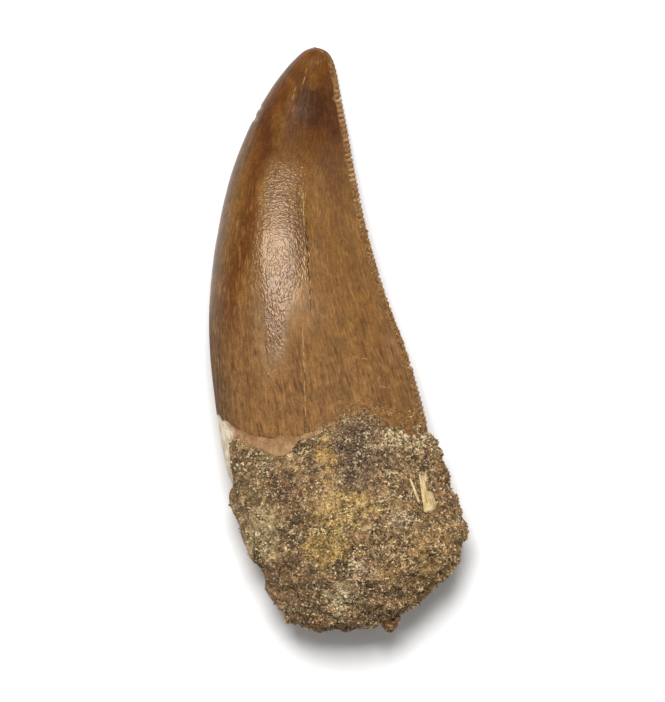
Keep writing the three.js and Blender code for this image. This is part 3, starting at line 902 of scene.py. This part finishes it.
def denticle(rng, y):
    """Points of one serration, in millimetres, from its inner end to its rounded outer end."""
    at, run, out = denticle_frame(y)
    front, rear = measures(TOOTH, y)[:2]
    worn = ramp(y, *WORN_BOTTOM) * (1 - ramp(y, *WORN_TOP))
    proud = DENTICLE_PROUD * (1 - WEAR * worn * rng.uniform(*WEAR_SPREAD)) * rng.uniform(*PROUD_SPREAD)
    size = DENTICLE_WIDTH * rng.uniform(*WIDTH_SPREAD)
    inner, outer = rng.uniform(*REACH_SPREAD, 2)
    reach = np.linspace(-DENTICLE_INWARD * inner, DENTICLE_OUTWARD * outer, STATIONS)
    inside = np.maximum(-reach, 0.02)
    angle = np.arccos(np.clip(2 * inside / (rear - front) - 1, -1, 1))
    top = section_points(TOOTH, np.full(STATIONS, y), angle)[:, 2]
    foot = section_points(TOOTH, np.full(STATIONS, y), -angle)[:, 2]
    end = np.sqrt(np.clip(1 - ((reach - reach[0]) / (reach[-1] - reach[0])) ** DENTICLE_BLUNT, 0, 1))
    start = np.sqrt(ramp(reach - reach[0], -0.02, 0.3))
    half = ((top - foot) / 2 + proud * start) * end
    ring = full_turn(RING)
    narrow = (DENTICLE_END + (1 - DENTICLE_END) * end) * np.maximum(end, 0.3)
    wide = size / 2 * np.cos(ring)[None, :] * narrow[:, None]
    tall = np.sign(np.sin(ring)) * np.abs(np.sin(ring)) ** DENTICLE_SQUARE
    points = at + out * reach[:, None, None] + run * wide[..., None]
    points[..., 2] = ((top + foot) / 2)[:, None] + half[:, None] * tall[None, :]
    return points


def denticle_pieces(material):
    rng = np.random.default_rng(5)
    points, faces, tones = [], [], []
    y = DENTICLE_TOP
    while y > DENTICLE_BOTTOM:
        one = denticle(rng, y).reshape(-1, 3)
        base = len(points) * len(one)
        for k in range(STATIONS - 1):
            for j in range(RING):
                a, b = base + k * RING + j, base + k * RING + (j + 1) % RING
                faces.append((a, a + RING, b + RING, b))
        faces.append(tuple(base + j for j in range(RING)))
        faces.append(tuple(base + (STATIONS - 1) * RING + j for j in reversed(range(RING))))
        points.append(one)
        tones.append(np.full(len(one), rng.uniform()))
        _, down, _ = denticle_frame(y)
        y += PITCH * down[1]
    piece = mesh_piece("serrations", np.vstack(points), faces, material, tone=np.concatenate(tones))
    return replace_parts(piece, "tooth")


def denticle_material():
    material, tree = new_material("serrated_edge", Specular_IOR_Level=0.5)
    where = place(tree)
    along, cloud = axis(where, "Y"), noise(where, *DENTICLE_CLOUDS)
    worn = step(along, -8.0, -2.0) * step(along, 20.0, 14.0)
    colour = mix(worn, two_tone(step(cloud, 0.35, 0.65), DENTICLE),
                 two_tone(step(cloud, 0.4, 0.65), DENTICLE_SANDY))
    # pale on part of the serrations: partly their own tone, partly a painted highlight on their tops
    colour = paint(step(field(tree, "tone"), 0.5, 1.0, 0.55), colour, DENTICLE_PALE_AND_HIGHLIGHT)
    colour = paint(step(along, 33.8, 35.4), colour, DENTICLE_TIP)
    return dressed(material, colour, cloud * 0.4 + 0.3, bump(cloud, 0.05, 0.6))


def window_depth(p):
    """How deep the crust is broken away over the root, 0 to 1."""
    across = p[..., 0] - WINDOW_AT[0]
    along = p[..., 1] - WINDOW_AT[1]
    u = across * math.cos(WINDOW_LEAN) + along * math.sin(WINDOW_LEAN)
    v = along * math.cos(WINDOW_LEAN) - across * math.sin(WINDOW_LEAN)
    far = np.maximum(np.abs(u) / WINDOW_HALF[0], np.abs(v) / WINDOW_HALF[1])
    far = far + noise_sum(p, WINDOW_RAGGED, 41)
    return (1 - ramp(far, 0.75, 1.1)) * (p[..., 2] > WINDOW_LOWEST)


def crust_form(y, angle, below):
    """The crust's free outer form at heights y and angles, with its lumps."""
    form = section_points(CRUST, y, angle)
    along = section_points(CRUST, y + 0.05, angle) - section_points(CRUST, y - 0.05, angle)
    around = section_points(CRUST, y, angle + 0.01) - section_points(CRUST, y, angle - 0.01)
    rough = lumps(form) * (EDGE_LUMPS + (1 - EDGE_LUMPS) * ramp(below, -0.4, 4))
    return form + unit(np.cross(around, along)) * rough[..., None]


def crust_surface(y, angle, below):
    """The crust's outer form, never nearer to the root than WALL."""
    form = crust_form(y, angle, below)
    core = section_points(TOOTH, y, angle, WALL)
    front, rear, thick, lift, _ = measures(TOOTH, y)
    middle = np.stack([(front + rear) / 2, y, lift + thick / 2], axis=-1)
    clear = np.linalg.norm(form - middle, axis=-1) - np.linalg.norm(core - middle, axis=-1)
    free = ramp(clear, -BLEND, BLEND) * ramp(below, -0.1, EDGE_BEVEL)
    under_root = y < TOOTH[0][0]
    free = np.where(under_root, 1.0, free)
    thin = np.where(under_root, 1.0, ramp(below, -0.02, 0.45))
    skin = section_points(TOOTH, y, angle, EDGE_WALL)
    core = skin + (core - skin) * thin[..., None]
    return core + (form - core) * free[..., None]


def crust_piece(material):
    angle = full_turn(CRUST_COLUMNS)[None, :]
    edge = smooth(*np.array(CRUST_EDGE).T, angle / (2 * math.pi))
    edge = edge + noise_sum(section_points(TOOTH, edge, angle), RAGGED, 21)
    low = CRUST[0][0]
    fall = (1 - (1 - np.arange(CRUST_ROWS) / CRUST_ROWS) ** CRUST_CROWDING)[:, None]
    y = edge + (low - edge) * fall
    below = edge - y
    outer = crust_surface(y, angle, below)
    relief = noise_sum(outer, RELIEF, 31)
    pit = ramp(noise_sum(outer, PIT_SHAPE, 36), 1 - PIT_SHARE, 1.1)
    broken = window_depth(outer)
    calm = (1 - 0.7 * broken) * (1 - FRONT_CALM * ramp(np.cos(angle), 0.3, 0.95))
    lift = relief * ramp(below, 0.0, 0.6) * calm - PIT_DEPTH * pit - WINDOW_DEPTH * broken
    lift = lift * ramp(outer[..., 1] - low, 0.0, 0.25)
    outer = outer - grid_normals(outer) * lift[..., None]
    outer[..., 2] = np.maximum(outer[..., 2], 0.0)
    sunk = np.arange(SOCKET_ROWS, 0, -1)[:, None] / SOCKET_ROWS
    socket = section_points(TOOTH, edge - SOCKET_DEPTH * sunk, angle, SOCKET_GAP - SOCKET_SLACK * sunk)
    rings = np.concatenate([socket, outer])[:, ::-1]
    foot = section_points(CRUST, np.array([low]), np.array([0.0]))[0]
    points, faces, uv = loft(rings, socket[0].mean(axis=0), foot)
    inner = np.zeros(socket.shape[:2])
    over = lambda outside: with_poles(np.concatenate([inner, outside])[:, ::-1])
    piece = mesh_piece("crust", points, faces, material, uv=uv, below=over(below),
                       relief=over(relief - 0.5 * pit))
    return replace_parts(piece, "matrix")


def nodule(centre, radii, lean):
    """A lumpy ball of cemented sand, as a loft along Y."""
    turn = full_turn(NODULE_POINTS)[None, :]
    rise = (math.pi * (np.arange(NODULE_RINGS) + 0.5) / NODULE_RINGS)[:, None]
    wide = np.sin(rise)
    ball = np.stack(np.broadcast_arrays(-np.cos(turn) * wide, -np.cos(rise), np.sin(turn) * wide), -1)
    shape = ball * radii
    shape[..., 0] += lean * shape[..., 1]
    rings = shape + centre
    rings = rings + ball * noise_sum(rings, NODULE_LUMPS, 51)[..., None]
    return loft(rings, rings[0].mean(axis=0), rings[-1].mean(axis=0))


def nodule_piece(material):
    points, faces, uv = joined([nodule(*one) for one in NODULES])
    far = np.full(len(points), 5.0)
    piece = mesh_piece("nodules", points, faces, material, uv=uv, below=far, relief=far * 0)
    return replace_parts(piece, "matrix")


def crust_layout(where):
    """What the crust's patches are laid out by."""
    return warped(where, 2.2, 3.0), noise(where, *PATCH_EDGES) * 3.2 - 1.6, upper_side(where)


def crust_tint(where):
    """Colour of the sandstone by region."""
    colour = two_tone(step(noise(where, *CRUST_CLOUDS), 0.38, 0.62), STONE)
    level = larger(noise(where, *CRUST_CLUMPS) * 3.0 - 0.5, 0.4)
    level = level * (noise(warped(where, 1.5, 0.8), *CRUST_PATCHES) * 2.0)
    return shaded(patched(colour, crust_layout(where), CRUST_BLOTCHES), level)


def cream(where, tone):
    """1 on cream grains: they lie in small clumps, and are more common in some patches."""
    share = step(noise(where, *CREAM_CLOUDS), 0.4, 0.7, 0.5)
    layout = crust_layout(where)
    for oval in CREAM_BLOTCHES:
        share = larger(share, patch(layout, *oval))
    clumps = noise(warped(where, 0.6, 0.5), *CREAM_CLUMPS)
    return step(share * 0.15 + (tone * 0.1 + clumps), 0.65, 0.69)


def sandstone_material():
    material, tree = new_material("sandstone_crust", Specular_IOR_Level=0.25)
    where = place(tree)
    tint, grit = crust_tint(where), noise(where, *STONE_GRIT)
    cells = {"Vector": warped(where, 0.5, 0.2), "Scale": 1 / 0.2}
    tone = node("SeparateColor", {0: node("TexVoronoi", cells, "Color")})
    pale = larger(cream(where, tone) * 0.55, step(grit, 0.56, 0.72, 0.4))
    colour = shaded(tint, larger(grit * 3.4 - 0.8, 0.3))
    colour = mix(pale, colour, paint(0.6, tint, STONE_PALE))
    # painted shade in the hollows and pits, where the relief is low
    colour = paint(step(field(tree, "relief"), 0.0, -0.2, 0.6), colour, STONE_HOLLOW_SHADE)
    normal = bump(node("TexVoronoi", cells, "Distance"), -0.08, 0.8, bump(grit, 0.2))
    return dressed(material, colour, tone * -0.25 + 0.95, normal)


def splinter_height(low, high, half, share, width):
    """Height of the crust's large form over a sliver, made straight along and across it."""
    line_x, line_y = (low + (high - low) * share).T
    rise, start = np.polyfit(share[:, 0], crust_height(line_x, line_y), 1)
    reach = sideways(low, high) * half
    middle = (low + high) / 2
    lean = (crust_height(*(middle + reach)) - crust_height(*(middle - reach))) / (2 * half)
    return start + rise * share + lean * width


def crust_height(x, y):
    """Height of the crust's large form over a place."""
    front, rear = measures(CRUST, y)[:2]
    angle = np.arccos(np.clip(1 - 2 * (x - front) / (rear - front), -1, 1))
    form = section_points(CRUST, y, angle)
    return form[..., 2] + lumps(form)


def sideways(low, high):
    """The way across a line, in the plane of the table."""
    run = (high - low) / np.linalg.norm(high - low)
    return np.array((run[1], -run[0]))


def squared(wave):
    """A sine or cosine, made squarer."""
    return np.sign(wave) * np.abs(wave) ** SPLINTER_SQUARE


def splinter(low, high, half_low, half_high, deep):
    """A plate of root along the window, with ridges along it and broken ends."""
    low, high = np.array(low), np.array(high)
    share = (np.arange(SPLINTER_RINGS) / (SPLINTER_RINGS - 1))[:, None]
    turn = full_turn(SPLINTER_POINTS)[None, :]
    across, up = squared(-np.cos(turn)), squared(np.sin(turn))
    ends = ramp(share, 0.0, 0.08) * ramp(1 - share, 0.0, 0.05)
    width = (half_low + (half_high - half_low) * share) * (SPLINTER_END + (1 - SPLINTER_END) * ends) * across
    zero = width * 0
    top = splinter_height(low, high, half_low, share, width) - deep
    grooves = noise_sum(np.stack([width, share * 0.9 + zero, zero], -1), SPLINTER_GROOVES, 61)
    z = top - SPLINTER_THICK / 2 * (1 - up * ends) + grooves * (up > 0)
    broken = noise_sum(np.stack([width * 2, zero, zero], -1), SPLINTER_BREAK, 63)
    run = (high - low) / np.linalg.norm(high - low)
    flat = low + (high - low) * share[..., None] + sideways(low, high) * width[..., None]
    flat = flat + run * (broken * (1 - 2 * share) * (1 - ends))[..., None]
    rings = np.concatenate([flat, z[..., None]], -1)
    return loft(rings, rings[0].mean(axis=0), rings[-1].mean(axis=0))


def splinter_piece(material):
    points, faces, uv = joined([splinter(*one) for one in SPLINTERS])
    piece = mesh_piece("root_splinters", points, faces, material, uv=uv)
    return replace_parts(piece, "tooth")


def bone_material():
    material, tree = new_material("bare_root", Specular_IOR_Level=0.35)
    where = place(tree)
    upright = node("VectorRotate", {"Vector": where, "Angle": -WINDOW_LEAN}, rotation_type="Z_AXIS")
    fibres = noise(scaled(upright, 1.0, 0.12, 1.0), *BONE_FIBRES)
    cloud = noise(where, *BONE_CLOUDS)
    colour = two_tone(step(cloud, 0.35, 0.65), BONE)
    colour = paint(step(fibres, 0.48, 0.66, 0.75), colour, BONE_DARK)
    colour = paint(step(fibres, 0.44, 0.3, 0.6), colour, BONE_PALE)
    return dressed(material, colour, cloud * 0.2 + 0.6, bump(fibres, 0.1, 0.9))


def turned(rng, count, corners):
    """Copies of the corners, each set turned by a random unit quaternion."""
    turn = unit(rng.normal(size=(count, 1, 4)))
    side = 2 * np.cross(turn[..., 1:], corners)
    return corners + turn[..., :1] * side + np.cross(turn[..., 1:], side)


def grain_map(count):
    """The map of the grains' corners: each grain has a cell of a square, and each face a part of it."""
    side = math.ceil(math.sqrt(count))
    cell, strip = np.arange(count), np.arange(8)
    x = (cell % side)[:, None, None] + (strip % 4)[None, :, None] * 0.25 + np.array((0.03, 0.22, 0.125))
    y = (cell // side)[:, None, None] + (strip // 4)[None, :, None] * 0.5 + np.array((0.05, 0.05, 0.45))
    return np.stack([x, y], -1) / side


def grain_piece(name, triangles, weight, count, size, material, replaced, seed):
    """Grains as small uneven octahedra, partly sunk in the given triangles."""
    rng = np.random.default_rng(seed)
    a, b, c = triangles[:, 0], triangles[:, 1], triangles[:, 2]
    across = np.cross(b - a, c - a)
    area = np.linalg.norm(across, axis=1) / 2
    weight = weight * area
    chosen = rng.choice(len(area), count, p=weight / weight.sum())
    r, s = rng.uniform(size=(2, count, 1))
    r = np.sqrt(r)
    middle = a[chosen] * (1 - r) + b[chosen] * r * (1 - s) + c[chosen] * r * s
    out = across[chosen] / (2 * area[chosen, None])
    radius = np.minimum(np.exp(rng.normal(math.log(size), GRAIN_SPREAD, count)), LARGEST_GRAIN)
    middle = middle + out * (radius * GRAIN_PROUD)[:, None]
    shape = turned(rng, count, np.concatenate([np.diag(GRAIN_FORM), -np.diag(GRAIN_FORM)]))
    shape = shape * rng.uniform(*GRAIN_UNEVEN, (count, 6, 1))
    vertices = middle[:, None, :] + shape * radius[:, None, None]
    vertices[..., 2] = np.maximum(vertices[..., 2], 0.0)
    faces = (np.arange(count)[:, None, None] * 6 + np.array(OCTAHEDRON)).reshape(-1, 3)
    tone = np.repeat(rng.uniform(size=count), 6)
    piece = mesh_piece(name, vertices.reshape(-1, 3), faces.tolist(), material,
                       smooth_faces=False, uv=grain_map(count), tone=tone)
    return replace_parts(piece, replaced)


def crust_grains(pieces, material):
    """Sand grains over the whole crust, fewer of them where it isn't seen."""
    found = [surface_faces(piece, "below") for piece in pieces]
    triangles = np.concatenate([corners for corners, _ in found])
    below = np.concatenate([fields[0] for _, fields in found])
    height = triangles[:, :, 2].mean(axis=1)
    across = np.cross(triangles[:, 1] - triangles[:, 0], triangles[:, 2] - triangles[:, 0])
    to_front = -across[:, 0] / np.linalg.norm(across, axis=1)
    seen = HIDDEN_SHARE + (1 - HIDDEN_SHARE) * (height > SEEN_HEIGHT)
    weight = (below > 0.03) * (height > 0.15) * seen * (1 - FRONT_BARE * ramp(to_front, 0.3, 0.8))
    grain_piece("sand_grains", triangles, weight, FINE_GRAINS, FINE_SIZE, material,
                "matrix", 23)
    clump = ramp(lattice_noise(triangles.mean(axis=1), 1.4, 75), -0.3, 0.5)
    grain_piece("coarse_grains", triangles, weight * clump, COARSE_GRAINS, COARSE_SIZE, material,
                "matrix", 27)


def scattered_grains(crown, material):
    """Grains left on the crown beyond the crust's edge, mostly on the rear half."""
    triangles, (above,) = surface_faces(crown, "above")
    middle = triangles.mean(axis=1)
    near = np.exp(-np.clip(above, 0, None) / SCATTER_REACH) * (above > -0.3) * (above < SCATTER_END)
    near = near * (0.08 + ramp(middle[:, 0], -4, 1)) * (middle[:, 2] > 5)
    clump = ramp(lattice_noise(middle, 0.9, 71), -0.1, 0.5)
    grain_piece("scattered_grains", triangles, near * clump, SCATTERED_GRAINS, SCATTERED_SIZE, material,
                "matrix", 29)


def edge_grains(crown, material):
    """Sand that fills the worn serrations."""
    triangles, (to_rear,) = surface_faces(crown, "to_rear")
    middle = triangles.mean(axis=1)
    worn = ramp(middle[:, 1], *SANDY_BOTTOM) * (1 - ramp(middle[:, 1], *SANDY_TOP))
    weight = worn * (1 - ramp(to_rear, 0.5, 1.1)) * ramp(lattice_noise(middle, 0.8, 73), -0.4, 0.4)
    grain_piece("edge_grains", triangles, weight, EDGE_GRAINS, EDGE_SIZE, material,
                "tooth", 31)


def grain_material():
    material, tree = new_material("sand_grains", Specular_IOR_Level=0.4)
    where, tone = place(tree), field(tree, "tone")
    tint, speck = crust_tint(where), noise(where, 0.12)
    pale = larger(cream(where, tone) * 0.9, step(tone, 0.6, 1.0, 0.75))
    colour = mix(pale, shaded(tint, tone * 1.15 + 0.27), paint(0.7, tint, GRAIN_PALE))
    colour = paint(step(speck, 0.5, 0.7, 0.3), colour, GRAIN_SPECK)
    return dressed(material, colour, tone * -0.35 + 0.85, bump(speck, 0.04, 0.6))


def floor():
    mesh = bpy.data.meshes.new("floor")
    corners = [(FLOOR_HALF * x, FLOOR_HALF * y, 0) for x, y in ((-1, -1), (1, -1), (1, 1), (-1, 1))]
    mesh.from_pydata(corners, [], [(0, 1, 2, 3)])
    material, _ = new_material("white_floor", Specular_IOR_Level=0.0, Roughness=1.0,
                               Base_Color=FLOOR_WHITE)
    mesh.materials.append(material)
    plane = bpy.data.objects.new("floor", mesh)
    bpy.context.scene.collection.objects.link(plane)


def sky():
    """Pale surroundings, dim overhead and bright near the horizon."""
    world = bpy.data.worlds.new("studio")
    bpy.context.scene.world = world
    world.use_nodes = True
    tree = world.node_tree
    up = larger(axis(source(tree, "TexCoord", "Generated"), "Z"), 0.0)
    level = calc("POWER", 1.0 - up, 2.0) * (SKY_HORIZON - SKY_ZENITH) + SKY_ZENITH
    tree.links.new(level.socket, tree.nodes["Background"].inputs["Strength"])
    tree.nodes["Background"].inputs["Color"].default_value = (1, 1, 1, 1)


def key_light():
    """A wide, flat soft light beyond the tip and a little to the front edge's side."""
    light = bpy.data.lights.new("key", "AREA")
    light.shape = "RECTANGLE"
    light.energy = LIGHT_POWER
    light.size, light.size_y = LIGHT_WIDTH, LIGHT_HEIGHT
    lamp = bpy.data.objects.new("key", light)
    flat = LIGHT_DISTANCE * math.cos(LIGHT_ELEVATION)
    lamp.location = (-flat * math.sin(LIGHT_AZIMUTH), flat * math.cos(LIGHT_AZIMUTH),
                     LIGHT_DISTANCE * math.sin(LIGHT_ELEVATION))
    lamp.rotation_euler = (-lamp.location).to_track_quat("-Z", "Y").to_euler()
    bpy.context.scene.collection.objects.link(lamp)


def camera():
    """Straight above the tooth, with the tip up in the picture."""
    data = bpy.data.cameras.new("camera")
    data.lens, data.sensor_width = LENS, SENSOR
    eye = bpy.data.objects.new("camera", data)
    distance = VIEW_HEIGHT / SENSOR * LENS + VIEW_LEVEL
    middle = (np.array(VIEW_MIDDLE) + OFFSET[:2]) * MM
    eye.location = (middle[0], middle[1], distance * MM)
    bpy.context.scene.collection.objects.link(eye)
    bpy.context.scene.camera = eye
    bpy.context.scene.view_settings.view_transform = "Standard"


camera()
sky()
key_light()
floor()
crown = crown_piece(enamel_material())
edge = denticle_material()
denticle_pieces(edge)
edge_grains(crown, edge)
splinter_piece(bone_material())
stone = sandstone_material()
sand = grain_material()
crust_grains([crust_piece(stone), nodule_piece(stone)], sand)
scattered_grains(crown, sand)
